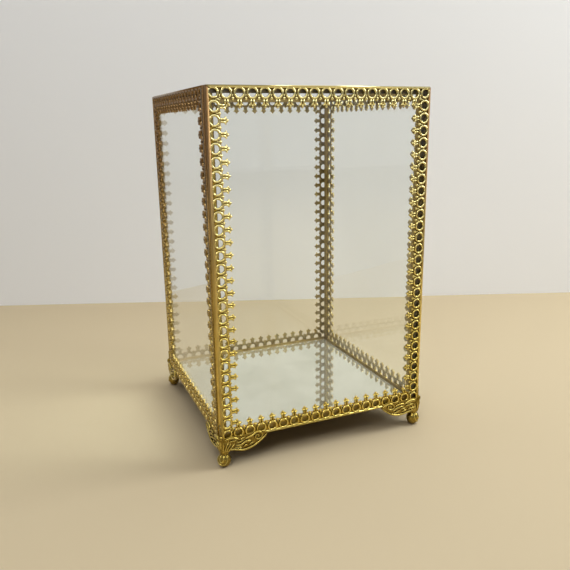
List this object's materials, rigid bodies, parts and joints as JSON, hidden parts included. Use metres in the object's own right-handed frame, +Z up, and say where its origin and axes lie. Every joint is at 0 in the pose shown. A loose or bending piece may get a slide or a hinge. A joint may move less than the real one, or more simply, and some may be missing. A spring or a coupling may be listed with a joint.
{
  "type": "jewelry box",
  "caption": "Open-topped glass box with pierced gilt-brass gallery strips along every edge, a mirrored floor and scrolled ball feet at the corners.",
  "frame": {"origin": "on the floor, under the middle of the box", "axes": "+X to the right along the front, +Y to the back, +Z up"},
  "size_m": [0.0918, 0.0918, 0.1413],
  "materials": {
    "gilt_brass": "bright gilt, slightly aged",
    "floor_brass": "plain satin sheet",
    "clear_glass": "clear, polished",
    "mirror": "silvered, slightly hazed"
  },
  "bodies": {
    "root": {"back_bottom_strip": "gilt_brass", "back_glass": "clear_glass", "back_left_foot": "gilt_brass", "back_left_strip": "gilt_brass", "back_right_foot": "gilt_brass", "back_right_strip": "gilt_brass", "back_top_strip": "gilt_brass", "base_plate": "floor_brass", "front_bottom_strip": "gilt_brass", "front_glass": "clear_glass", "front_left_foot": "gilt_brass", "front_left_strip": "gilt_brass", "front_right_foot": "gilt_brass", "front_right_strip": "gilt_brass", "front_top_strip": "gilt_brass", "left_bottom_strip": "gilt_brass", "left_glass": "clear_glass", "left_left_strip": "gilt_brass", "left_right_strip": "gilt_brass", "left_top_strip": "gilt_brass", "mirror_plate": "mirror", "right_bottom_strip": "gilt_brass", "right_glass": "clear_glass", "right_left_strip": "gilt_brass", "right_right_strip": "gilt_brass", "right_top_strip": "gilt_brass"}
  },
  "joints": []
}
